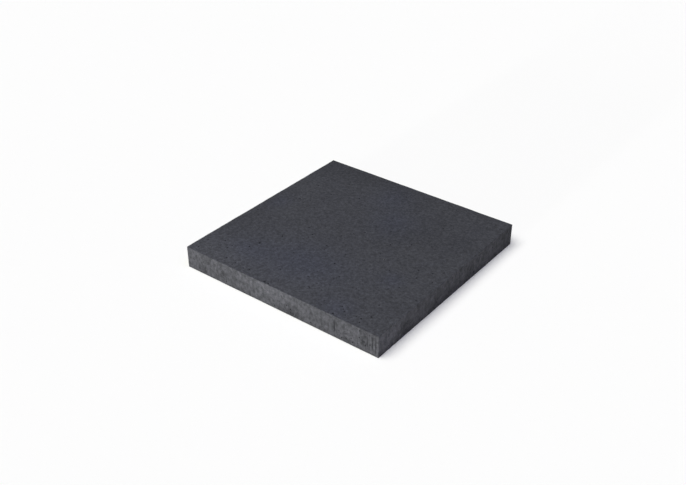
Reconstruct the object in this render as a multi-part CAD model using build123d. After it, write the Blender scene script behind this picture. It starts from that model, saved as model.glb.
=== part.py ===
"""Square concrete paving slab, pressed in one piece in a steel mould.

The slab lies as it is laid, bed face down on Z = 0 and wearing face up.
The origin is the middle of the bed face, with X along the length and Y along the width.
All sizes are in millimetres.
"""

import os

from build123d import *

# Driving dimensions
SLAB_LENGTH = 500.0  # along X, from joint face to joint face
SLAB_WIDTH = 500.0  # along Y, from joint face to joint face
SLAB_THICKNESS = 50.0  # along Z, from bed face to wearing face
CORNER_RADIUS = 2.0  # the four upright edges, rounded by the corners of the mould
WEARING_ARRIS = 1.0  # radius of the edges round the wearing face, which has no chamfer
BED_ARRIS = 0.6  # radius of the edges round the bed face


def make_paving_slab():
    """One pressed block: its outline, its thickness, then the arrises of its two faces."""
    with BuildPart() as slab:
        with BuildSketch(Plane.XY):
            RectangleRounded(SLAB_LENGTH, SLAB_WIDTH, CORNER_RADIUS)
        extrude(amount=SLAB_THICKNESS)

        wearing_face = slab.faces().sort_by(Axis.Z)[-1]
        fillet(wearing_face.edges(), WEARING_ARRIS)

        bed_face = slab.faces().sort_by(Axis.Z)[0]
        fillet(bed_face.edges(), BED_ARRIS)
    return slab.part


paving_slab = make_paving_slab()

os.makedirs("parts", exist_ok=True)
export_step(paving_slab, "parts/paving_slab.step")
print("paving_slab volume", round(paving_slab.volume), "mm3, size", paving_slab.bounding_box().size)
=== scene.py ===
# %% [markdown]
# # An anthracite concrete paving slab
# A slab like this is made in seconds. Earth-damp concrete, coloured black right through with iron
# oxide, is filled into a steel box, shaken, pressed and pushed out while it is still soft.
# Its skin tells that story: a flat pressed face with fine pores, sides with drag marks from the
# mould, small chips along the arrises, and a rougher bed face underneath.
# The frame gives the slab's size and place. This lesson gives it its skin.

# %% The frame
import math
from collections import namedtuple

import bpy
import numpy as np
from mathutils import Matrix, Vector, noise
from mathutils.geometry import delaunay_2d_cdt


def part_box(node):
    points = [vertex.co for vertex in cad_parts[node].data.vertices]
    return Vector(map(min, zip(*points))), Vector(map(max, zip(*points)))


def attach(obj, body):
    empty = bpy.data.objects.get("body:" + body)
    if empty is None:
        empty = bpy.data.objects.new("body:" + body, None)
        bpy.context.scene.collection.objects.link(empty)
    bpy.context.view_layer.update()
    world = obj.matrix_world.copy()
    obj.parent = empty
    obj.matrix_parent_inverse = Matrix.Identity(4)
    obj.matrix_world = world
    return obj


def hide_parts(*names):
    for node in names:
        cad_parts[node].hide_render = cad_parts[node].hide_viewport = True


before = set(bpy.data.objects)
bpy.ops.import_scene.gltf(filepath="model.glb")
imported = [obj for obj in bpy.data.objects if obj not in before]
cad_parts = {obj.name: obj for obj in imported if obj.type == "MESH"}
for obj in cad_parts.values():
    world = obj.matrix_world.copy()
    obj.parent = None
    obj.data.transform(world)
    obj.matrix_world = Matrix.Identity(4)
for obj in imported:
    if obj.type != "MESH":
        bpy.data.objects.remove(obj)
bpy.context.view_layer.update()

MM = 0.001  # all lengths below are in metres, and a number times MM reads as millimetres
slab_low, slab_high = (np.array(corner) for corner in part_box("paving_slab"))
slab_size = slab_high - slab_low
LENGTH, WIDTH, THICKNESS = slab_size
print("The slab measures %.1f x %.1f x %.1f mm" % (LENGTH / MM, WIDTH / MM, THICKNESS / MM))

# %% [markdown]
# ## Camera
# The photo looks down on one corner of the slab through a normal lens. A camera can be placed by
# trying, but the slab's six seen corners fix it: a square block of known size has only one place from
# which its corners fall on those spots. So the camera is set by a turn, a rise, a distance, a point
# to look at and a lens, and the picture then lines up by itself.

# %% Camera
CAMERA_TURN = math.radians(37.76)  # round the slab, from its front side towards its right side
CAMERA_RISE = math.radians(32.52)  # above the floor
CAMERA_DISTANCE = 2.054
CAMERA_AIM = Vector((-0.0472, 0.0268, 0.0))
CAMERA_LENS = 48.53  # mm
SENSOR_WIDTH = 36.0  # mm


def direction(turn, rise):
    """The direction from the slab towards something that stands at a turn and a rise."""
    return Vector((math.sin(turn) * math.cos(rise), -math.cos(turn) * math.cos(rise), math.sin(rise)))


camera = bpy.data.objects.new("camera", bpy.data.cameras.new("camera"))
camera.data.sensor_width = SENSOR_WIDTH
camera.data.lens = CAMERA_LENS
camera.location = CAMERA_AIM + CAMERA_DISTANCE * direction(CAMERA_TURN, CAMERA_RISE)
camera.rotation_euler = direction(CAMERA_TURN, CAMERA_RISE).to_track_quat("Z", "Y").to_euler()
bpy.context.scene.collection.objects.link(camera)
bpy.context.scene.camera = camera
print("The camera stands at", [round(c, 3) for c in camera.location])

# %% [markdown]
# ## Helpers for nodes and colours
# A shader is a tree of nodes. One small function adds a node, sets it up and links it, so that each
# material below reads as a list of its layers. Inputs and outputs go by their identifier, which
# is unique where two sockets share a name. A second function turns the sRGB colours that people write
# into the linear ones that the renderer counts in, and a third starts a material with nothing in it.

# %% Helpers for nodes and colours
def add(tree, kind, settings=None, links=None):
    """Add a node, give it its settings, and link its inputs to (node, output) pairs."""
    node = tree.nodes.new(kind)
    for name, value in (settings or {}).items():
        sockets = {socket.identifier: socket for socket in node.inputs}
        if name in sockets:
            sockets[name].default_value = value
        else:
            setattr(node, name, value)
    for name, (source, output) in (links or {}).items():
        inputs = {socket.identifier: socket for socket in node.inputs}
        outputs = {socket.identifier: socket for socket in source.outputs}
        tree.links.new(inputs[name], outputs[output])
    return node


def colour(hex_code):
    """Linear RGBA of a colour written as RRGGBB, by the formula and numbers of the sRGB standard."""
    shares = [int(hex_code[k:k + 2], 16) / 255 for k in (0, 2, 4)]
    return tuple(c / 12.92 if c <= 0.04045 else ((c + 0.055) / 1.055) ** 2.4 for c in shares) + (1.0,)


def empty_material(name):
    """A material with a bare node tree."""
    material = bpy.data.materials.new(name)
    material.use_nodes = True
    material.node_tree.nodes.clear()
    return material


print("A mid grey of 808080 is %.3f in linear light" % colour("808080")[0])

# %% [markdown]
# ## Light
# The photo tells where its light came from. The shadow is short and has no hard rim, so the main light
# was broad and stood high up. It lies on the right and behind, so that light stood a little to the
# front and left. The front side is paler than such a light can make it, so a second, weak light stood
# low in front. Lamps in a room would leave the floor dark further back. Suns light all of it evenly,
# and a sun with a wide disc gives a soft shadow.
# The shadow is slightly blue and the paper round it is white, so a little blue daylight fills it in from
# the right, as from a high window, and the lamps are a touch warmer to make up for it. All together, with
# the room, light a level face white, at a strength of one, so a colour comes out as it is written.

# %% Light
scene = bpy.context.scene
scene.view_settings.view_transform = "Standard"

WARM_WHITE, SKY_BLUE = "FFFFF9", "7A7AFF"

# Turn, rise and width are in degrees. A share is of the red light on a level face. With the room, the
# shares add up to one, and the tints are such that the green and the blue do too.
Lamp = namedtuple("Lamp", "name turn rise width share tint")
LAMPS = (Lamp("high_lamp", -20.0, 70.0, 50.0, 0.916, WARM_WHITE),
         Lamp("low_lamp", 0.0, 2.0, 3.0, 0.014, WARM_WHITE),
         Lamp("window", 90.0, 65.0, 40.0, 0.012, SKY_BLUE))

for lamp in LAMPS:
    towards = direction(math.radians(lamp.turn), math.radians(lamp.rise))
    sun = bpy.data.objects.new(lamp.name, bpy.data.lights.new(lamp.name, "SUN"))
    sun.rotation_euler = towards.to_track_quat("Z", "Y").to_euler()
    sun.data.angle = math.radians(lamp.width)
    tint = colour(lamp.tint)
    sun.data.energy = lamp.share * math.pi / (towards.z * tint[0])
    sun.data.color = tint[:3]
    scene.collection.objects.link(sun)
    print("The", lamp.name, "has a strength of %.2f" % sun.data.energy)

# %% [markdown]
# ## Room
# The room lights the slab evenly from all round. A white background could be had by turning that light
# up, but it would wash out the slab. So the room has two looks: to the camera, and to anything that
# mirrors it, it is plain white, and as light it is weak.

# %% Room
ROOM_COLOUR = "FFFFFF"
ROOM_SHARE = 0.058  # of the light on a level face
ROOM_SEEN = 1.0  # its strength to the camera


def looked_at(tree):
    """Nodes that give 1 for what the camera sees, straight, mirrored or through glass, and 0 for light."""
    ray = add(tree, "ShaderNodeLightPath")
    mirrored = add(tree, "ShaderNodeMath", {"operation": "MAXIMUM"},
                   {"Value": (ray, "Is Glossy Ray"), "Value_001": (ray, "Is Transmission Ray")})
    return add(tree, "ShaderNodeMath", {"operation": "MAXIMUM"},
               {"Value": (ray, "Is Camera Ray"), "Value_001": (mirrored, "Value")})


world = bpy.data.worlds.new("white_room")
world.use_nodes = True
world.node_tree.nodes.clear()
scene.world = world

tree = world.node_tree
room_light = add(tree, "ShaderNodeBackground", {"Color": colour(ROOM_COLOUR), "Strength": ROOM_SHARE})
room_seen = add(tree, "ShaderNodeBackground", {"Color": colour(ROOM_COLOUR), "Strength": ROOM_SEEN})
room = add(tree, "ShaderNodeMixShader", {},
           {"Fac": (looked_at(tree), "Value"), "Shader": (room_light, "Background"),
            "Shader_001": (room_seen, "Background")})
add(tree, "ShaderNodeOutputWorld", {}, {"Surface": (room, "Shader")})
print("The room gives %.0f%% of the light on a level face" % (100 * ROOM_SHARE))

# %% [markdown]
# ## Floor
# The floor is white paper, which throws light back onto the slab's sides. It has two looks as well: to the
# camera it is a little whiter than real paper, so that it comes out white where no shadow falls.
# One large square is enough, because the white of the room goes on where the paper ends.

# %% Floor
FLOOR_SIDE = 30.0
PAPER = "EDEDED"
PAPER_SEEN = "FDFDFD"


def white_paper():
    """Studio paper: an even matt white that keeps a soft shadow."""
    material = empty_material("white_paper")
    tree = material.node_tree
    paper = add(tree, "ShaderNodeBsdfDiffuse", {"Color": colour(PAPER)})
    seen = add(tree, "ShaderNodeBsdfDiffuse", {"Color": colour(PAPER_SEEN)})
    look = add(tree, "ShaderNodeMixShader", {},
               {"Fac": (looked_at(tree), "Value"), "Shader": (paper, "BSDF"), "Shader_001": (seen, "BSDF")})
    add(tree, "ShaderNodeOutputMaterial", {}, {"Surface": (look, "Shader")})
    return material


half = FLOOR_SIDE / 2
floor_corners = [(-half, -half, 0), (half, -half, 0), (half, half, 0), (-half, half, 0)]
floor_mesh = bpy.data.meshes.new("studio_floor")
floor_mesh.from_pydata(floor_corners, [], [(0, 1, 2, 3)])
floor_mesh.materials.append(white_paper())
floor = bpy.data.objects.new("studio_floor", floor_mesh)
floor.location.z = slab_low[2]
scene.collection.objects.link(floor)
print("The floor is %.0f m wide and made of" % FLOOR_SIDE, floor_mesh.materials[0].name)

# %% [markdown]
# ## The form of a pore
# Where an air bubble sat against the mould, the slab has a pore: a small pit with an uneven rim. Where a
# coarse grain was dragged down the mould as the slab was pushed out, a side has an upright groove.
# Both could be drawn in a material, but a pit that is modelled catches light and shade from every side.
# A groove is only a very long pore, so one form serves for both: rings of points, each deeper than
# the one around it.

# %% The form of a pore
UNEVEN = 0.2  # how far a rim strays from an oval, as a share of its radius
Pore = namedtuple("Pore", "across up radius depth stretch lean uneven", defaults=(UNEVEN,))
PORE_RINGS = ((1.4, 0.0), (1.0, 0.15), (0.78, 0.7), (0.42, 0.95))  # share of the radius, share of the depth
RING_STEP = 1.1 * MM
FEWEST_RING_POINTS = 8


def ring(pore, share, count, wobble):
    """Points of one ring of a pore, on an oval made uneven by two waves and by three waves round it."""
    angle = np.arange(count) / count * 2 * math.pi
    uneven = 1 + wobble[0] * np.cos(2 * angle + wobble[2]) + wobble[1] * np.cos(3 * angle + wobble[3])
    along = pore.radius * pore.stretch * share * uneven * np.cos(angle)
    beside = pore.radius * share * uneven * np.sin(angle)
    cos, sin = math.cos(pore.lean), math.sin(pore.lean)
    return np.stack([pore.across + along * cos - beside * sin, pore.up + along * sin + beside * cos], axis=1)


def pore_points(pore, rng):
    """The points of a pore on its face, and how deep each one lies."""
    half_length = pore.radius * pore.stretch
    outline = math.pi * (pore.radius + half_length)
    count = max(FEWEST_RING_POINTS, round(outline / RING_STEP))
    wobble = (*rng.uniform(0.0, pore.uneven, 2) / pore.stretch, *rng.uniform(0.0, 2 * math.pi, 2))
    rings = [ring(pore, share, count, wobble) for share, depth in PORE_RINGS]
    depths = [np.full(count, depth * pore.depth) for share, depth in PORE_RINGS]
    points = np.concatenate(rings + [[(pore.across, pore.up)]])
    return points, np.concatenate(depths + [[pore.depth]])


small_pore = Pore(across=0, up=0, radius=0.5 * MM, depth=1.0 * MM, stretch=1, lean=0)
print("A pore 1 mm wide has", len(pore_points(small_pore, np.random.default_rng(0))[0]), "points")

# %% [markdown]
# ## Room between pores
# On the real slab two bubbles that met have joined into one pore. The rings of two pores that overlap would
# tangle. Cutting one pore out of the other could show how they join, but from where anyone stands it makes
# no difference, so each pore just keeps a gap to the others.

# %% Room between pores
RIM_SHARE = PORE_RINGS[0][0]
PORE_GAP = 1.2 * MM
RIM_POINTS = 24  # enough to try whether two rims meet
EVEN = (0, 0, 0, 0)  # a ring without a wobble


def covered(points, pore, gap):
    """Which points lie on a pore or within a gap around it."""
    cos, sin = math.cos(pore.lean), math.sin(pore.lean)
    away = points - (pore.across, pore.up)
    along = (away[:, 0] * cos + away[:, 1] * sin) / (RIM_SHARE * pore.radius * pore.stretch + gap)
    beside = (away[:, 1] * cos - away[:, 0] * sin) / (RIM_SHARE * pore.radius + gap)
    return along ** 2 + beside ** 2 < 1.0


def stands_clear(pore, others):
    """True if a pore keeps a gap to all the others."""
    rim = ring(pore, RIM_SHARE, RIM_POINTS, EVEN)
    reach = RIM_SHARE * pore.radius * pore.stretch
    for other in others:
        far = reach + RIM_SHARE * other.radius * other.stretch + PORE_GAP
        if math.hypot(pore.across - other.across, pore.up - other.up) < far:
            other_rim = ring(other, RIM_SHARE, RIM_POINTS, EVEN)
            if covered(rim, other, PORE_GAP).any() or covered(other_rim, pore, PORE_GAP).any():
                return False
    return True


least_step = 2 * RIM_SHARE * small_pore.radius + PORE_GAP
print("Two pores 1 mm wide have their middles at least %.1f mm apart" % (least_step / MM))

# %% [markdown]
# ## Pores of the two large faces
# The largest pores of the wearing face, and the pits beside its front arris, are placed where the photo shows
# dark specks, as distances in millimetres from the face's left and front edges. The smaller ones could be
# placed too, but there are hundreds, so they are strewn by a seeded random draw: many small, few large, as
# bubbles are.

# %% Pores of the two large faces
WEARING_PORES = (  # across, up, radius
    (112, 106, 2.3), (448, 201, 1.9), (286, 142, 1.8), (453, 42, 1.8), (402, 24, 1.7), (388, 394, 1.7),
    (212, 58, 1.6), (482, 250, 1.5), (425, 136, 1.5), (465, 234, 1.4), (73, 63, 1.4), (50, 300, 1.4))
PORE_DEPTH, PORE_STRETCH = 1.2, 1.15  # depth in radii, and how many times longer than wide
ARRIS_PITS = ((216, 5.2, 2.0), (226.5, 4.4, 1.6), (389, 5.4, 2.0))  # across, up, radius
PIT_DEPTH, PIT_STRETCH, PIT_UNEVEN = 1.0, 1.5, 0.35
WEARING_STREWN, WEARING_RADII = 420, (0.5 * MM, 1.6 * MM)
BED_STREWN, BED_RADII = 120, (0.8 * MM, 2.6 * MM)
FACE_MARGIN = 8 * MM
STREWN_DEPTH = (0.9, 1.6)  # in radii
STREWN_STRETCH = (1.0, 1.6)
MANY_SMALL = 2.2  # the higher, the fewer of the strewn pores are large
SEED = 500


def strew(pores, count, size, margin, radii, rng):
    """Strew a number of pores over a face, clear of those already there: many small, few large."""
    smallest, largest = radii
    goal = len(pores) + count
    while len(pores) < goal:
        radius = smallest * (largest / smallest) ** (rng.random() ** MANY_SMALL)
        across, up = margin + rng.random(2) * (np.array(size) - 2 * margin)
        depth = radius * rng.uniform(*STREWN_DEPTH)
        pore = Pore(across, up, radius, depth, rng.uniform(*STREWN_STRETCH), rng.uniform(0, math.pi))
        if stands_clear(pore, pores):
            pores.append(pore)
    return pores


rng = np.random.default_rng(SEED)
pores = {"wearing": [], "bed": []}
for a, u, r in WEARING_PORES:  # any angle will do to lean by, so its distance across serves for one
    pores["wearing"].append(Pore(a * MM, u * MM, r * MM, PORE_DEPTH * r * MM, PORE_STRETCH, lean=a))
for a, u, r in ARRIS_PITS:
    pores["wearing"].append(Pore(a * MM, u * MM, r * MM, PIT_DEPTH * r * MM, PIT_STRETCH, 0.0, PIT_UNEVEN))
strew(pores["wearing"], WEARING_STREWN, (LENGTH, WIDTH), FACE_MARGIN, WEARING_RADII, rng)
strew(pores["bed"], BED_STREWN, (LENGTH, WIDTH), FACE_MARGIN, BED_RADII, rng)
for face_name, on_face in pores.items():
    print("The", face_name, "face has", len(on_face), "pores")

# %% [markdown]
# ## Patches of tone, and painted light and shade
# Concrete is never one shade. Where the mix was dry, a side has open, dark patches in which the grains stand
# apart, and where lime bloomed it is pale. The wearing face has broader patches, and faint blue clouds, such
# as more of the black pigment gives. A noise texture would put patches anywhere. Soft ovals can be placed, so
# those on the wearing face, the front and the right side follow the photo. The two hidden sides get ovals of
# the same kinds by a random draw. Some ovals paint light and shade as well as tone: the wearing face is
# painted paler towards its front and front-left corner and darker towards the back, every side gets a dark
# band of painted shade along its foot, the front and right sides are painted paler near the top, and the
# right side is painted darker towards the back.

# %% Patches of tone
# A tone of 1 is the darkest and -1 the palest, also for the ovals that paint light and shade.
Patch = namedtuple("Patch", "across up half_across half_up tone")  # tone 1 is open and dark, -1 is pale
# The wearing face's ovals are partly tone and partly a painted light gradient: paler towards the front and
# the front-left corner, darker towards the back.
WEARING_TONE_AND_SHADING = (  # in millimetres, like all the rows below
    (20, 15, 150, 80, -0.6), (300, 10, 260, 70, -0.25), (365, 345, 170, 100, 0.35),
    (250, 500, 400, 60, 0.45), (70, 480, 130, 70, 0.3), (0, 300, 50, 220, 0.25))
BLUE_CLOUDS = (  # here a tone of 1 is the bluest
    (230, 105, 105, 70, 0.8), (105, 75, 50, 35, 0.5), (385, 24, 40, 30, 0.6), (225, 430, 45, 55, 0.6),
    (290, 345, 50, 55, 0.7), (413, 165, 25, 25, 0.6), (32, 263, 25, 30, 0.5))
# The front's ovals are partly tone and partly painted light and shade: a pale band near the top is painted
# light, and a dark band along the foot is painted shade.
FRONT_TONE_AND_SHADING = (
    (45, 12, 10, 8, 0.6), (104, 20, 6, 8, 0.7), (286, 9, 22, 15, 0.9), (396, 26, 3.5, 15, 0.7),
    (466, 20, 11, 20, 0.55), (235, 38, 80, 14, -0.8), (425, 36, 22, 12, -0.2), (250, 0, 300, 6, 0.5),
    (454, 30, 3, 20, -0.7), (482, 25, 2.2, 24, -0.8), (485.6, 25, 2, 24, 0.9), (489.7, 25, 2.2, 24, -0.8),
    (493, 25, 2, 24, 0.9), (498, 25, 2.5, 26, -0.8), (30, 34, 26, 16, -0.4), (215, 12, 20, 12, -0.4),
    (425, 12, 18, 12, 0.4), (478, 46, 22, 10, 0.5), (226, 47, 3, 4, -1.0), (240, 48, 190, 7, -0.3))
# The right side's ovals are partly tone and partly painted light and shade: paler near the top and towards
# the front corner, darker towards the back, and a dark band of painted shade along the foot.
RIGHT_TONE_AND_SHADING = (
    (90, 12, 20, 18, 0.9), (195, 18, 9, 20, 0.7), (258, 8, 26, 14, 0.9), (322, 14, 15, 18, 0.8),
    (30, 30, 36, 26, -0.9), (250, 0, 300, 8, 0.9), (360, 25, 260, 90, 0.45), (495, 25, 60, 60, 0.7),
    (80, 46, 30, 10, -0.4))
# A dark band along the foot of each hidden side: painted shade.
HIDDEN_FOOT_SHADE = (250, 0, 300, 7, 0.8)
HIDDEN_OPEN = ((40, 460), (8, 22), (6, 24), (8, 20))  # spans to draw across, up and the half sizes from
HIDDEN_OPEN_COUNT, HIDDEN_OPEN_TONE = 5, 0.8
HIDDEN_PALE = ((80, 420), (32, 42), (30, 70))  # the same, with one half height for all
HIDDEN_PALE_HALF_UP, HIDDEN_PALE_TONE = 14, -0.7


def placed_patches(rows):
    """Patches from rows of millimetres."""
    return [Patch(a * MM, u * MM, da * MM, du * MM, tone) for a, u, da, du, tone in rows]


def random_patches(rng):
    """Patches for a hidden side: a dark band of painted shade along the foot, some open ones above it, and a
    pale one near the top.
    """
    rows = [HIDDEN_FOOT_SHADE]
    for k in range(HIDDEN_OPEN_COUNT):
        drawn = [rng.uniform(*span) for span in HIDDEN_OPEN]
        rows.append((*drawn, HIDDEN_OPEN_TONE))
    drawn = [rng.uniform(*span) for span in HIDDEN_PALE]
    rows.append((*drawn, HIDDEN_PALE_HALF_UP, HIDDEN_PALE_TONE))
    return placed_patches(rows)


def tone_at(points, patches):
    """How open and dark, or how pale, a face is at some points."""
    tone = np.zeros(len(points))
    for p in patches:
        tone += p.tone * np.exp(-((points[:, 0] - p.across) / p.half_across) ** 2
                                - ((points[:, 1] - p.up) / p.half_up) ** 2)
    return np.clip(tone, -1.0, 1.0)


patches = {"wearing": placed_patches(WEARING_TONE_AND_SHADING), "bed": [],
           "front": placed_patches(FRONT_TONE_AND_SHADING), "right": placed_patches(RIGHT_TONE_AND_SHADING),
           "back": random_patches(rng), "left": random_patches(rng)}
print("Patches:", {face_name: len(on_face) for face_name, on_face in patches.items()})

# %% [markdown]
# ## Grooves and pores of the sides
# On the sides the pores gather in the open patches, and upright grooves show where a grain was dragged along
# the mould. The grooves of the two seen sides are placed by the photo, with a few single pits. The pores
# could be strewn evenly, but then the open patches would only be dark paint, so most are strewn in them.

# %% Grooves and pores of the sides
UPRIGHT = math.pi / 2
GROOVES = {  # across, up, half width, half length
    "front": ((474, 25, 0.9, 15.5), (485.6, 25, 0.8, 15), (493, 25, 0.7, 15.5), (396, 25, 1.2, 13),
              (462, 20, 0.9, 12), (384, 42, 0.9, 1.1), (391, 39, 0.8, 1.2), (104, 20, 1.3, 1.6)),
    "right": ((194, 22, 1.0, 14), (206, 17, 0.8, 10)),
    "back": ((60, 24, 0.9, 15), (330, 22, 0.8, 14)),
    "left": ((410, 26, 0.9, 15), (150, 20, 0.7, 12))}
GROOVE_DEPTH = 0.7  # in half widths
TRIES_IN_PATCH = 26
PATCH_SPREAD = 0.5  # of a patch's half sizes
PATCH_RADII = (0.5, 1.5)  # mm
PATCH_DEPTH = (0.8, 1.4)  # in radii
PATCH_STRETCH = (1.0, 2.0)
PATCH_LEAN = 0.5  # the usual lean away from upright, in radians
SIDE_STREWN, SIDE_RADII = 40, (0.5 * MM, 1.1 * MM)
SIDE_MARGIN = 7 * MM  # kept free beside the arrises


def pore_in_patch(patch, rng):
    """A pore somewhere in a patch of a side. All four sides of the square slab are as long as its length."""
    across = rng.normal(patch.across, PATCH_SPREAD * patch.half_across)
    up = rng.normal(patch.up, PATCH_SPREAD * patch.half_up)
    across = np.clip(across, FACE_MARGIN, LENGTH - FACE_MARGIN)
    up = np.clip(up, SIDE_MARGIN, THICKNESS - SIDE_MARGIN)
    radius = rng.uniform(*PATCH_RADII) * MM
    depth = radius * rng.uniform(*PATCH_DEPTH)
    return Pore(across, up, radius, depth, rng.uniform(*PATCH_STRETCH), rng.normal(UPRIGHT, PATCH_LEAN))


def side_pores(patches, grooves, rng):
    """Grooves and pores of a side, with most of the pores in its open patches."""
    pores = []
    for a, u, r, half in grooves:
        pores.append(Pore(a * MM, u * MM, r * MM, GROOVE_DEPTH * r * MM, half / r, UPRIGHT))
    open_patches = [patch for patch in patches if patch.tone > 0]
    for patch in open_patches:
        for k in range(TRIES_IN_PATCH):
            pore = pore_in_patch(patch, rng)
            if stands_clear(pore, pores):
                pores.append(pore)
    return strew(pores, SIDE_STREWN, (LENGTH, THICKNESS), SIDE_MARGIN, SIDE_RADII, rng)


for side, grooves in GROOVES.items():
    pores[side] = side_pores(patches[side], grooves, rng)
    print("The", side, "side has", len(pores[side]), "pores and grooves")

# %% [markdown]
# ## Points of a flat sheet
# A block has six faces, and each is first made flat, as a sheet of points. An even grid would do, but fine
# enough for the arrises it would have millions of points. So the points stand close together along the
# borders, where the arrises will be rounded and chipped, and further apart in the middle.

# %% Points of a flat sheet
CORNER_REACH = 3.0 * MM  # the stretch of an edge beside a corner that has close points
CORNER_STOPS = 5
RIM_ROWS = (  # inset from the border, step along the row
    (0.0, 1.6 * MM), (0.45 * MM, 1.6 * MM), (1.0 * MM, 1.6 * MM), (2.2 * MM, 2.2 * MM), (4.2 * MM, 3.2 * MM))
LATTICE_START = 6.5 * MM
SHAKE = 0.2  # of a step


def stops(length, step):
    """Places of the points along an edge: close together by its two corners, evenly spaced between."""
    close = np.linspace(0.0, CORNER_REACH, CORNER_STOPS, endpoint=False)
    spaced = np.linspace(CORNER_REACH, length - CORNER_REACH, round((length - 2 * CORNER_REACH) / step) + 1)
    return np.concatenate([close, spaced, length - close[::-1]])


def rim_row(width, height, inset, step):
    """One row of points all round a sheet, at an inset from its border."""
    across = inset + stops(width - 2 * inset, step)
    up = inset + stops(height - 2 * inset, step)[1:-1]
    level = [(a, u) for u in (inset, height - inset) for a in across]
    upright = [(a, u) for a in (inset, width - inset) for u in up]
    return np.array(level + upright)


def lattice(width, height, grid, rng):
    """Points over the middle of a sheet, in rows set half a step apart, each shaken a little."""
    rows = np.arange(LATTICE_START, height - LATTICE_START, grid[1])
    columns = np.arange(LATTICE_START, width - LATTICE_START - grid[0] / 2, grid[0])
    points = np.array([(a + grid[0] / 2 * (k % 2), u) for k, u in enumerate(rows) for a in columns])
    return points + rng.uniform(-SHAKE, SHAKE, points.shape) * grid


print("An edge has", len(stops(LENGTH, RIM_ROWS[0][1])), "points from corner to corner")

# %% [markdown]
# ## Six flat sheets
# The pores bring rings of their own into the sheets. Nobody could tie up such a mixture of points by hand,
# but a Delaunay triangulation does it at once, and it keeps the triangles as plump as the points allow.
# Each sheet knows the corner of the block that it starts from and the directions that it runs in.

# %% Six flat sheets
Face = namedtuple("Face", "name corner across up finish")
Sheet = namedtuple("Sheet", "face flat places depth tone triangles")
X, Y, Z = np.eye(3)
PRESSED, STRIPPED, OPEN = range(3)  # the finishes, in the order of the mesh's materials
FACES = (
    Face("wearing", (slab_low[0], slab_low[1], slab_high[2]), X, Y, PRESSED),
    Face("bed", (slab_high[0], slab_low[1], slab_low[2]), -X, Y, OPEN),
    Face("front", (slab_low[0], slab_low[1], slab_low[2]), X, Z, STRIPPED),
    Face("right", (slab_high[0], slab_low[1], slab_low[2]), Y, Z, STRIPPED),
    Face("back", (slab_high[0], slab_high[1], slab_low[2]), -X, Z, STRIPPED),
    Face("left", (slab_low[0], slab_high[1], slab_low[2]), -Y, Z, STRIPPED))
GRIDS = {PRESSED: (4.6 * MM, 4.0 * MM), STRIPPED: (1.9 * MM, 3.2 * MM), OPEN: (7.5 * MM, 6.5 * MM)}
LATTICE_ROOM = 0.45  # of a step, left free between a pore and the lattice
RIM_ROOM = 0.3 * MM  # left free between a pore and the rim rows
SAME_POINT = 1e-9  # points closer together than this count as one


def flat_sheet(width, height, grid, pores, rng):
    """The points of a flat face, how deep each lies in a pore, and the triangles between them."""
    rim = np.concatenate([rim_row(width, height, inset, step) for inset, step in RIM_ROWS])
    middle = lattice(width, height, grid, rng)
    for pore in pores:
        middle = middle[~covered(middle, pore, LATTICE_ROOM * grid[0])]
        rim = rim[~covered(rim, pore, RIM_ROOM)]
    dug = [pore_points(pore, rng) for pore in pores]
    points = np.concatenate([rim, middle] + [p for p, depth in dug])
    depth = np.concatenate([np.zeros(len(rim) + len(middle))] + [d for p, d in dug])
    triangles = delaunay_2d_cdt([Vector(p) for p in points], [], [], 0, SAME_POINT)[2]
    return points, depth, np.array(triangles)


sheets = []
for face in FACES:
    width, height = abs(face.across @ slab_size), abs(face.up @ slab_size)
    flat, depth, triangles = flat_sheet(width, height, GRIDS[face.finish], pores[face.name], rng)
    places = np.array(face.corner) + flat[:, :1] * face.across + flat[:, 1:] * face.up
    sheets.append(Sheet(face, flat, places, depth, tone_at(flat, patches[face.name]), triangles))
    print("The", face.name, "face has", len(flat), "points and", len(triangles), "triangles")

# %% [markdown]
# ## One closed block
# The six sheets share the points along their borders. Joining them means giving each shared point one
# number only. Points that fall on the same spot, to a thousandth of a millimetre, become one, and the
# triangles are renumbered. A closed block has exactly two triangles at every edge, which is easy to count.

# %% One closed block
WELD = 1e-6
loose = np.concatenate([sheet.places for sheet in sheets])
starts = np.cumsum([0] + [len(sheet.places) for sheet in sheets])
whole_steps = np.round(loose / WELD).astype(np.int64)
first, number = np.unique(whole_steps, axis=0, return_index=True, return_inverse=True)[1:]
number = number.ravel()
block = loose[first]
triangles = np.concatenate([number[sheet.triangles + start] for sheet, start in zip(sheets, starts)])
finishes = np.concatenate([np.full(len(sheet.triangles), sheet.face.finish) for sheet in sheets])

pore_depth = np.zeros(len(block))
np.maximum.at(pore_depth, number, np.concatenate([sheet.depth for sheet in sheets]))
sheet_tones = np.concatenate([sheet.tone for sheet in sheets])
tone = np.zeros(len(block))
tone[number[sheet_tones != 0]] = sheet_tones[sheet_tones != 0]

edges = np.sort(np.concatenate([triangles[:, [0, 1]], triangles[:, [1, 2]], triangles[:, [2, 0]]]), axis=1)
uses = np.unique(edges, axis=0, return_counts=True)[1]
print(len(block), "points and", len(triangles), "triangles")
print("Edges with two triangles:", int((uses == 2).sum()), "of", len(uses))

# %% [markdown]
# ## Worn arrises
# So far the block is sharp. On the real slab the arrises, the long edges round the two large faces, are
# rounded by about a millimetre, and handling has worn them unevenly. A bevel would give them one radius all
# along. Here each point is given the radius of the arris that it is nearest to, with smooth noise of two
# sizes for the wear, and the next step rounds the block by it.

# %% Worn arrises
WEARING_ARRIS = 1.0 * MM
BED_ARRIS = 0.6 * MM
LONG_WEAR, LONG_WEAR_SIZE = 0.7, 25 * MM  # how far wear changes a radius, as a share, and over what length
SHORT_WEAR, SHORT_WEAR_SIZE = 0.4, 6 * MM
LEAST_WORN, MOST_WORN = 0.6, 1.9
NOISE_STEP = (7.31, 3.17, 5.53)  # from one seed to the next, and far enough to come to another noise

slab_middle = (slab_low + slab_high) / 2


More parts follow.
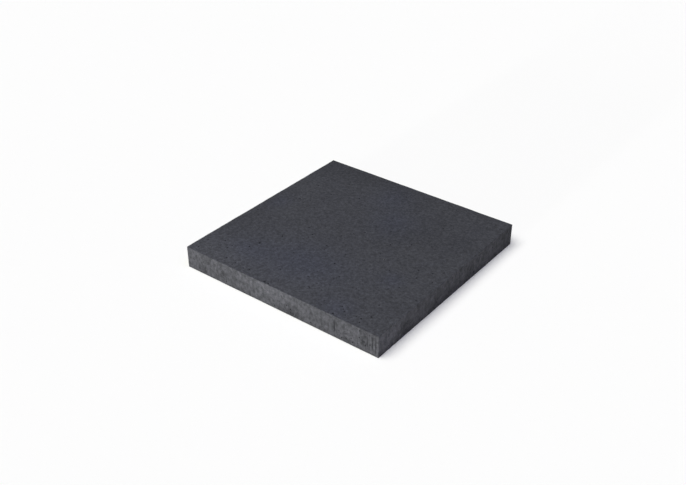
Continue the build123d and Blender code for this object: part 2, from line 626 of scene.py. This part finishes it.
def noise_at(points, size, seed):
    """Smooth noise between about -1 and 1, with swells of a given size. Each use has a seed of its own."""
    shift = Vector([seed * step for step in NOISE_STEP])
    return np.array([noise.noise(Vector(p) + shift) for p in points / size])


def worn_radius(points):
    """The radius of the arris that each point is nearest to, as it is worn there."""
    worn = 1.0 + LONG_WEAR * noise_at(points, LONG_WEAR_SIZE, 1)
    worn += SHORT_WEAR * noise_at(points, SHORT_WEAR_SIZE, 2)
    upper = points[:, 2] > slab_middle[2]
    return np.where(upper, WEARING_ARRIS, BED_ARRIS) * np.clip(worn, LEAST_WORN, MOST_WORN)


radii = worn_radius(block)
print("The arrises have radii from %.2f to %.2f mm" % (radii.min() / MM, radii.max() / MM))

# %% [markdown]
# ## Rounded corners and arrises
# The mould also rounds the slab's four upright corners, by 2 mm. A bevel could do all the rounding, but it
# would cut up the fine rows of points. Instead each point is carried from the sharp block to the rounded one
# by a formula, and the same formula gives the direction straight out of the surface, along which the relief
# is cut afterwards.

# %% Rounded corners and arrises
CORNER_RADIUS = 2.0 * MM
NEXT_TO_NOTHING = 1e-12
LEVEL = 1e-9  # a point this close to the height of a large face lies on it


def rounded(points, radius):
    """Carry points of the sharp block onto the rounded one. Gives their places and directions outwards."""
    # Seen from above, a point near an upright corner is swung onto the corner's arc
    side = np.where(points[:, :2] < slab_middle[:2], -1.0, 1.0)
    half = slab_size[:2] / 2
    past = np.abs(points[:, :2] - slab_middle[:2]) - (half - CORNER_RADIUS)
    in_corner = (past > 0).all(axis=1)
    swing = np.where(in_corner[:, None], past, 1.0)
    shrink = swing.max(axis=1) / np.linalg.norm(swing, axis=1)
    past = np.where(in_corner[:, None], past * shrink[:, None], past)

    # The direction out of its side or corner, and how far it lies inside that
    nearest = np.eye(2)[np.argmax(past, axis=1)]
    reach = np.maximum(np.linalg.norm(past, axis=1), NEXT_TO_NOTHING)
    out = np.where(in_corner[:, None], past / reach[:, None], nearest)
    inset = np.where(in_corner, CORNER_RADIUS - reach, CORNER_RADIUS - past.max(axis=1))

    # Seen in section, a point near an arris is drawn onto the arris's arc
    up = points[:, 2] > slab_middle[2]
    below = np.where(up, slab_high[2] - points[:, 2], points[:, 2] - slab_low[2])
    lean = np.maximum(np.stack([radius - inset, radius - below], axis=1), 0.0)
    on_arris = (lean > 0).all(axis=1)
    lean = np.where(on_arris[:, None], lean, np.where((below < LEVEL)[:, None], (0.0, 1.0), (1.0, 0.0)))
    lean /= np.linalg.norm(lean, axis=1)[:, None]
    new_inset = np.where(on_arris, radius * (1 - lean[:, 0]), inset)
    new_below = np.where(on_arris, radius * (1 - lean[:, 1]), below)

    # Both moves together give its place
    past += out * (inset - new_inset)[:, None]
    place = np.empty_like(points)
    place[:, :2] = slab_middle[:2] + side * (half - CORNER_RADIUS + past)
    place[:, 2] = np.where(up, slab_high[2] - new_below, slab_low[2] + new_below)
    upward = np.where(up, 1.0, -1.0)[:, None] * lean[:, 1:]
    return place, np.concatenate([side * out * lean[:, :1], upward], axis=1)


place, outward = rounded(block, radii)
print("Rounded, the block reaches from", (place.min(axis=0) / MM).round(2), "mm")
print("to", (place.max(axis=0) / MM).round(2), "mm")

# %% [markdown]
# ## Relief
# No pressed face is dead flat. It swells by a tenth of a millimetre or two over a hand's breadth, and the
# sand in it stands out a little. The sides are scored from top to bottom, because the slab was pushed out of
# its mould upright. A bump in a material would do for the camera, but not for the shape that others use.
# So the points are moved, and always inwards from the block, so that the slab never outgrows its size.

# %% Relief
SWELL, SWELL_SIZE = 0.16 * MM, 60 * MM
SAND, SAND_SIZE = 0.07 * MM, 5 * MM
SCORE, SCORE_SIZE = 0.2 * MM, 6 * MM
SCORE_RUN = 14.0  # how many times longer than wide the score marks are
DRAG, DRAG_SIZE = 0.4 * MM, 5.5 * MM
DRAG_RUN = 1.7
# The hollows of the score and drag marks are also painted darker in the sides' colour: painted shade.
SCORE_SHARE = 0.25  # of the hollows that darken a side, the rest being drag marks
BED_SWELL, BED_SWELL_SIZE = 0.5 * MM, 14 * MM
OPEN_SINK = 0.5 * MM


def swell_at(points, size, seed):
    """Smooth noise between about 0 and 1."""
    return 0.5 + 0.5 * noise_at(points, size, seed)


steep = 1.0 - np.abs(outward[:, 2])
under = np.maximum(-outward[:, 2], 0.0)
openness = steep * np.clip(tone, 0.0, 1.0)
score = swell_at(place * (1, 1, 1 / SCORE_RUN), SCORE_SIZE, 5)
drag = swell_at(place * (1, 1, 1 / DRAG_RUN), DRAG_SIZE, 9)
hollow = SCORE_SHARE * score + (1 - SCORE_SHARE) * drag

depth = SWELL * swell_at(place, SWELL_SIZE, 3)
depth += SAND * swell_at(place, SAND_SIZE, 4)
depth += steep * (SCORE * score + DRAG * drag)
depth += BED_SWELL * under * swell_at(place, BED_SWELL_SIZE, 6)
depth += OPEN_SINK * openness * swell_at(place, SAND_SIZE, 7)
depth += pore_depth
place -= outward * np.maximum(depth, 0.0)[:, None]
print("Relief: %.2f mm on average, %.2f mm at most" % (depth.mean() / MM, depth.max() / MM))

# %% [markdown]
# ## Chips
# Arrises of concrete chip when slabs are stacked and handled. A chip is a shallow scallop, as if a ball had
# bitten into the edge. A boolean cut could make it, but it would leave a tangle of thin triangles. So a ball
# is set just outside the arris, and every point that lies in it is pushed out to its surface. The chips that
# show on the front arris are placed as in the photo, and small ones are strewn along all the arrises.

# %% Chips
FRONT_CHIPS = ((225, 9.0, 1.7), (383, 8.0, 1.5), (300, 4.5, 0.8), (150, 4.0, 0.7))  # across, length, depth
STREWN_CHIPS = 130
STREWN_LENGTHS = (1.8, 4.8)  # mm
STREWN_BITES = (0.1, 0.2)  # their depth as a share of their length
WEARING_SHARE = 0.55  # of the strewn chips are on the arrises of the wearing face
CHIP_ROUGHNESS, CHIP_GRAIN = 0.16, 2.5 * MM
FULL_CHIP = 0.4 * MM  # where a chip is this deep, all of the skin is gone


def chip_ball(spot, outwards, length, depth):
    """Centre and radius of the ball that bites a chip of a given length and depth."""
    radius = (length ** 2 / 4 + depth ** 2) / (2 * depth)
    outwards = np.array(outwards) / np.linalg.norm(outwards)
    return spot + outwards * (radius - depth), radius


def bite(place, chipped, ball):
    """Push the points inside a ball out to its surface, and mark them as chipped."""
    centre, radius = ball
    away = place - centre
    distance = np.linalg.norm(away, axis=1)
    near = np.flatnonzero(distance < radius * (1 + CHIP_ROUGHNESS))
    rough = radius * (1 + CHIP_ROUGHNESS * noise_at(place[near], CHIP_GRAIN, 8))
    inside = distance[near] < rough
    hit, rough = near[inside], rough[inside]
    depth = rough - distance[hit]
    place[hit] = centre + away[hit] * (rough / distance[hit])[:, None]
    chipped[hit] = np.maximum(chipped[hit], np.clip(depth / FULL_CHIP, 0, 1))


chipped = np.zeros(len(place))
wearing_face = FACES[0]  # its corner is also the left end of the front arris
for across, length, deep in FRONT_CHIPS:
    spot = np.array(wearing_face.corner) + X * across * MM
    bite(place, chipped, chip_ball(spot, Z - Y, length * MM, deep * MM))
side_faces = [face for face in FACES if face.finish == STRIPPED]
for k in range(STREWN_CHIPS):
    face = side_faces[rng.integers(len(side_faces))]
    out = np.cross(face.across, face.up)
    at_top = rng.random() < WEARING_SHARE
    spot = np.array(face.corner) + face.across * LENGTH * rng.random() + face.up * THICKNESS * at_top
    length = rng.uniform(*STREWN_LENGTHS) * MM
    deep = length * rng.uniform(*STREWN_BITES)
    bite(place, chipped, chip_ball(spot, out + (Z if at_top else -Z), length, deep))
print("Chips: %.1f%% of the points lie in one" % (100 * (chipped > 0).mean()))

# %% [markdown]
# ## The mesh
# The points and triangles become a mesh of Blender's. What the making found out about each point goes along
# as named attributes: how deep it lies in a pore, how far it was chipped, its patch's tone, how hollow the
# drag marks are there and how blue the wearing face is. A material could guess such things from the shape,
# but here they are known, so the materials read them. The depth in a pore and the hollowness of the drag
# marks darken the colour as painted shade, and the tone carries painted light and shade besides the
# concrete's own.

# %% The mesh
# Pores are painted darker the deeper they lie, down to this depth: painted shade.
PORE_SHADE_DEPTH = 0.8 * MM  # a pore is at its darkest this deep
CHIP_SHOWS = 0.5  # how much of a chip's paler break shows through the dust in it

known = {"pore": np.clip(pore_depth / PORE_SHADE_DEPTH, 0, 1), "chip": CHIP_SHOWS * chipped, "tone": tone,
         "hollow": hollow, "blue": tone_at((block - slab_low)[:, :2], placed_patches(BLUE_CLOUDS))}

mesh = bpy.data.meshes.new("pressed_slab")
mesh.from_pydata(place.tolist(), [], triangles.tolist())
mesh.polygons.foreach_set("material_index", finishes.astype(np.int32))
mesh.shade_smooth()
for name, values in known.items():
    mesh.attributes.new(name, "FLOAT", "POINT").data.foreach_set("value", values.astype(np.float32))
mesh.update()
slab = bpy.data.objects.new("pressed_slab", mesh)
scene.collection.objects.link(slab)
print("The mesh has", len(mesh.vertices), "points and knows", ", ".join(known), "of each")

# %% [markdown]
# ## A map of the six sheets
# When the slab leaves Blender, its materials are painted into one square picture, and each face needs a place
# there. A program can lay that map out by itself, but it would tear every pore's wall off its face. The flat
# sheets are a better map, and they are at hand. The wearing face gets the most room, the sides lie in strips
# below it, at about the same scale, and the bed face, which is hardly ever seen, is squeezed in beside them.

# %% A map of the six sheets
Chart = namedtuple("Chart", "left foot width height")  # as shares of the picture
MAP_GAP = 0.005
WEARING_WIDTH = 0.66
BED_LEFT = WEARING_WIDTH + 3 * MAP_GAP
STRIP_HEIGHT, STRIP_STEP = 0.07, 0.082

charts = {"wearing": Chart(MAP_GAP, 1 - MAP_GAP - WEARING_WIDTH, WEARING_WIDTH, WEARING_WIDTH),
          "bed": Chart(BED_LEFT, MAP_GAP, 1 - MAP_GAP - BED_LEFT, 1 - 2 * MAP_GAP)}
for k, face in enumerate(side_faces):
    charts[face.name] = Chart(MAP_GAP, MAP_GAP + k * STRIP_STEP, WEARING_WIDTH, STRIP_HEIGHT)

spots = []
for sheet in sheets:
    chart = charts[sheet.face.name]
    share = sheet.flat[sheet.triangles.ravel()] / sheet.flat.max(axis=0)
    spots.append((chart.left, chart.foot) + share * (chart.width, chart.height))
sheet_map = mesh.uv_layers.new(name="OFBake")  # the name that the export looks for
sheet_map.uv.foreach_set("vector", np.concatenate(spots).ravel().astype(np.float32))
print("The map has", len(charts), "charts for", len(sheet_map.uv), "corners of triangles")

# %% [markdown]
# ## The concrete itself
# All six faces are one anthracite concrete: cement and sand, coloured right through with a few percent of
# black iron oxide. To the eye that is a dull, nearly black grey with a hint of blue, a fine salt-and-pepper
# of grains and no gloss to speak of. The faces differ only in how they were made. Each could have a material
# written out in full, but the layers that they share are written once, as a few nodes that go over what lies
# beneath. The first two are the patches of tone and the sand.

# %% The concrete itself
PATCH_SHARE = 0.35  # how much darker an open patch is than the rest, and how much paler a pale one
SAND_CLUMP = 6.0 * MM  # single grains don't show in the picture, so sand is drawn in clumps this coarse
SAND_GRAIN = 1.2 * MM  # the largest grains, at their true size, for a look from close by
GRAIN_SHARE = 0.28  # how much paler or darker than the rest a grain can be
TINT = {"data_type": "RGBA", "blend_type": "MULTIPLY", "Factor_Float": 1.0}  # a mix that multiplies
NEARLY_ALL = {"From Min": 0.25, "From Max": 0.75}  # the stretch that holds nearly all values of a noise
MOST = {"From Min": 0.3, "From Max": 0.7}


def patches_over(tree, body):
    """Make a colour darker in open patches and painted shade, and paler in lime bloom and painted light."""
    tone = add(tree, "ShaderNodeAttribute", {"attribute_name": "tone"})
    share = add(tree, "ShaderNodeMapRange",
                {"From Min": -1.0, "From Max": 1.0, "To Min": 1 + PATCH_SHARE, "To Max": 1 - PATCH_SHARE},
                {"Value": (tone, "Fac")})
    return add(tree, "ShaderNodeMix", TINT, {"A_Color": (body, "Result_Color"), "B_Color": (share, "Result")})


def sand_over(tree, spot, body, clump_share):
    """Lay sand over a colour, in soft clumps and single grains. Gives the colour, clumps and grains."""
    clumps = add(tree, "ShaderNodeTexNoise", {"Scale": 1 / SAND_CLUMP, "Detail": 3.0, "Roughness": 0.55},
                 {"Vector": (spot, "Object")})
    clump_tint = add(tree, "ShaderNodeMapRange",
                     {**NEARLY_ALL, "To Min": 1 - clump_share, "To Max": 1 + clump_share},
                     {"Value": (clumps, "Fac")})
    clumped = add(tree, "ShaderNodeMix", TINT,
                  {"A_Color": (body, "Result_Color"), "B_Color": (clump_tint, "Result")})
    grains = add(tree, "ShaderNodeTexVoronoi", {"Scale": 1 / SAND_GRAIN}, {"Vector": (spot, "Object")})
    grain_tint = add(tree, "ShaderNodeMapRange", {"To Min": 1 - GRAIN_SHARE, "To Max": 1 + GRAIN_SHARE},
                     {"Value": (grains, "Color")})
    grained = add(tree, "ShaderNodeMix", TINT,
                  {"A_Color": (clumped, "Result_Color"), "B_Color": (grain_tint, "Result")})
    return grained, clumps, grains


print("Sand is drawn in clumps of %.1f mm and grains of %.1f mm" % (SAND_CLUMP / MM, SAND_GRAIN / MM))

# %% [markdown]
# ## Pits and the dull surface
# The pores are painted darker the deeper they lie, which is painted shade on top of the shade that their
# modelled hollows catch, and a chip bares a paler break.
# The last layer is the surface. Cement paste is full of pores that are too small to see, which scatter the
# light, so its roughness is high. Its gloss could be set by roughness alone, but dust dulls it further, so
# its specular level is also far below that of a clean stone. Clumps and grains are finer than the mesh, so
# their heights are given as bump.

# %% Pits and the dull surface
CONCRETE_IOR = 1.5
CONCRETE_GLOSS = 0.1


def pits_over(tree, body, pore_shade_colour, chip_colour):
    """Darken the pores the deeper they lie, as painted shade, and let the paler break of the chips show."""
    pore = add(tree, "ShaderNodeAttribute", {"attribute_name": "pore"})
    dark = add(tree, "ShaderNodeMix", {"data_type": "RGBA", "B_Color": colour(pore_shade_colour)},
               {"Factor_Float": (pore, "Fac"), "A_Color": (body, "Result_Color")})
    chip = add(tree, "ShaderNodeAttribute", {"attribute_name": "chip"})
    return add(tree, "ShaderNodeMix", {"data_type": "RGBA", "B_Color": colour(chip_colour)},
               {"Factor_Float": (chip, "Fac"), "A_Color": (dark, "Result_Color")})


def dull_surface(tree, skin, clumps, grains, roughness, clump_height, grain_height):
    """Close a material with a dull surface, on which clumps and grains stand out by their heights."""
    dull = add(tree, "ShaderNodeMapRange", {**MOST, "To Min": roughness[0], "To Max": roughness[1]},
               {"Value": (clumps, "Fac")})
    swells = add(tree, "ShaderNodeBump", {"Distance": clump_height}, {"Height": (clumps, "Fac")})
    bump = add(tree, "ShaderNodeBump", {"Distance": grain_height, "invert": True},
               {"Height": (grains, "Distance"), "Normal": (swells, "Normal")})
    shader = add(tree, "ShaderNodeBsdfPrincipled",
                 {"IOR": CONCRETE_IOR, "Specular IOR Level": CONCRETE_GLOSS},
                 {"Base Color": (skin, "Result_Color"), "Roughness": (dull, "Result"),
                  "Normal": (bump, "Normal")})
    add(tree, "ShaderNodeOutputMaterial", {}, {"Surface": (shader, "BSDF")})


print("The concrete has an IOR of", CONCRETE_IOR, "and a specular level of", CONCRETE_GLOSS)

# %% [markdown]
# ## Pressed face
# The wearing face was pressed against a steel plate. That makes it the darkest and most even face, with
# broad, faint clouds, sand that hardly stands out, and pin-holes between the larger pores.
# The pin-holes could be modelled like the pores, but they are too many for that, so the material draws them:
# a Voronoi texture knows how far each spot is from the nearest of its strewn points, and close to one the
# colour turns dark: painted shade for a hole that the mesh does not have.

# %% Pressed face
CLOUD = 70 * MM
PRESSED_DARK, PRESSED_PALE, PRESSED_BLUE = "393A40", "424348", "3D3F49"
PIN_HOLE_SPACING = 8 * MM
PIN_HOLE_RIM, PIN_HOLE_CORE = 0.96 * MM, 0.4 * MM  # from its middle to where it begins and is darkest
# The pin-holes' dark colour is painted shade.
PIN_HOLE_SHADE_COLOUR, PIN_HOLE_SHARE = "232428", 0.7


def pressed_face():
    """Anthracite concrete, pressed smooth: the wearing face. It looks dark, even and finely speckled."""
    material = empty_material("pressed_anthracite_concrete")
    tree = material.node_tree
    spot = add(tree, "ShaderNodeTexCoord")
    clouds = add(tree, "ShaderNodeTexNoise", {"Scale": 1 / CLOUD, "Detail": 3.0},
                 {"Vector": (spot, "Object")})
    body = add(tree, "ShaderNodeMix",
               {"data_type": "RGBA", "A_Color": colour(PRESSED_DARK), "B_Color": colour(PRESSED_PALE)},
               {"Factor_Float": (clouds, "Fac")})
    blue = add(tree, "ShaderNodeAttribute", {"attribute_name": "blue"})
    tinted = add(tree, "ShaderNodeMix", {"data_type": "RGBA", "B_Color": colour(PRESSED_BLUE)},
                 {"Factor_Float": (blue, "Fac"), "A_Color": (body, "Result_Color")})
    sanded, clumps, grains = sand_over(tree, spot, patches_over(tree, tinted), clump_share=0.43)
    cells = add(tree, "ShaderNodeTexVoronoi", {"Scale": 1 / PIN_HOLE_SPACING}, {"Vector": (spot, "Object")})
    hole = add(tree, "ShaderNodeMapRange",
               {"From Min": PIN_HOLE_RIM / PIN_HOLE_SPACING, "From Max": PIN_HOLE_CORE / PIN_HOLE_SPACING,
                "To Min": 0.0, "To Max": PIN_HOLE_SHARE},
               {"Value": (cells, "Distance")})
    holed = add(tree, "ShaderNodeMix", {"data_type": "RGBA", "B_Color": colour(PIN_HOLE_SHADE_COLOUR)},
                {"Factor_Float": (hole, "Result"), "A_Color": (sanded, "Result_Color")})
    skin = pits_over(tree, holed, pore_shade_colour="222327", chip_colour="5A5B5E")
    dull_surface(tree, skin, clumps, grains, (0.78, 0.95), clump_height=0.13 * MM, grain_height=0.12 * MM)
    return material


mesh.materials.append(pressed_face())
print("Made", mesh.materials[PRESSED].name)

# %% [markdown]
# ## Mould sides
# The sides were drawn along the steel of the mould. The fines that are smeared over them dry paler than the
# pressed face, blotched. The colour is also painted darker in the hollows of the drag marks and paler on the
# ridges between them: painted shade and light, partly dust in the hollows. A noise could stand for the
# hollows, but the mesh knows where they are, and then light and colour agree.

# %% Mould sides
BLOTCH = 22 * MM
SIDE_DARK, SIDE_PALE = "4A4B4F", "5E5E64"
# The paleness follows partly the blotches and partly the hollows, whose share is painted shade and light.
HOLLOW_SHADE_SHARE = 0.5  # how much of the smearing follows the hollows, the rest being blotches


def mould_side():
    """Anthracite concrete, stripped from a steel mould: the four joint faces. They look smeared and paler."""
    material = empty_material("stripped_anthracite_concrete")
    tree = material.node_tree
    spot = add(tree, "ShaderNodeTexCoord")
    blotch = add(tree, "ShaderNodeTexNoise", {"Scale": 1 / BLOTCH, "Detail": 4.0, "Roughness": 0.65},
                 {"Vector": (spot, "Object")})
    hollow = add(tree, "ShaderNodeAttribute", {"attribute_name": "hollow"})
    drawn = add(tree, "ShaderNodeMapRange", {**NEARLY_ALL, "To Min": 1.0, "To Max": 0.0},
                {"Value": (hollow, "Fac")})
    blotched_and_shaded = add(tree, "ShaderNodeMix", {"data_type": "FLOAT", "Factor_Float": HOLLOW_SHADE_SHARE},
                  {"A_Float": (blotch, "Fac"), "B_Float": (drawn, "Result")})
    paleness = add(tree, "ShaderNodeMapRange", MOST, {"Value": (blotched_and_shaded, "Result_Float")})
    body = add(tree, "ShaderNodeMix",
               {"data_type": "RGBA", "A_Color": colour(SIDE_DARK), "B_Color": colour(SIDE_PALE)},
               {"Factor_Float": (paleness, "Result")})
    sanded, clumps, grains = sand_over(tree, spot, patches_over(tree, body), clump_share=0.28)
    skin = pits_over(tree, sanded, pore_shade_colour="323337", chip_colour="606164")
    dull_surface(tree, skin, clumps, grains, (0.82, 0.96), clump_height=0.25 * MM, grain_height=0.15 * MM)
    return material


mesh.materials.append(mould_side())
print("Made", mesh.materials[STRIPPED].name)

# %% [markdown]
# ## Bed face
# The slab's underside lies in the sand, so nobody smooths it. It keeps the open texture that the concrete
# fell into the mould with: coarse grit, each grain of its own shade, and sand that stands out more than
# elsewhere. The grit could be modelled grain by grain, but this face is hardly ever seen, so the material
# draws it: a Voronoi texture gives each of its cells a colour of its own, like grains.

# %% Bed face
BED_GRIT = 4 * MM
GRIT_SHARE = 0.25  # how much paler or darker than the rest a grain of grit can be
BED_DARK, BED_PALE = "3E3F43", "55565A"


def bed_face():
    """Anthracite concrete, left open: the bed face. It looks rough, with grains of many shades."""
    material = empty_material("open_anthracite_concrete")
    tree = material.node_tree
    spot = add(tree, "ShaderNodeTexCoord")
    blotch = add(tree, "ShaderNodeTexNoise", {"Scale": 1 / BLOTCH, "Detail": 4.0, "Roughness": 0.65},
                 {"Vector": (spot, "Object")})
    body = add(tree, "ShaderNodeMix",
               {"data_type": "RGBA", "A_Color": colour(BED_DARK), "B_Color": colour(BED_PALE)},
               {"Factor_Float": (blotch, "Fac")})
    grit = add(tree, "ShaderNodeTexVoronoi", {"Scale": 1 / BED_GRIT}, {"Vector": (spot, "Object")})
    grit_tint = add(tree, "ShaderNodeMapRange", {"To Min": 1 - GRIT_SHARE, "To Max": 1 + GRIT_SHARE},
                    {"Value": (grit, "Color")})
    gritty = add(tree, "ShaderNodeMix", TINT,
                 {"A_Color": (body, "Result_Color"), "B_Color": (grit_tint, "Result")})
    sanded, clumps, grains = sand_over(tree, spot, gritty, clump_share=0.5)
    skin = pits_over(tree, sanded, pore_shade_colour="2A2B2E", chip_colour="606164")
    dull_surface(tree, skin, clumps, grains, (0.85, 0.98), clump_height=0.6 * MM, grain_height=0.3 * MM)
    return material


mesh.materials.append(bed_face())
print("Made", mesh.materials[OPEN].name)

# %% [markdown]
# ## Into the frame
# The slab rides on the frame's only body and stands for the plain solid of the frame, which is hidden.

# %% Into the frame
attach(slab, "root")
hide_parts("paving_slab")

bpy.context.view_layer.update()
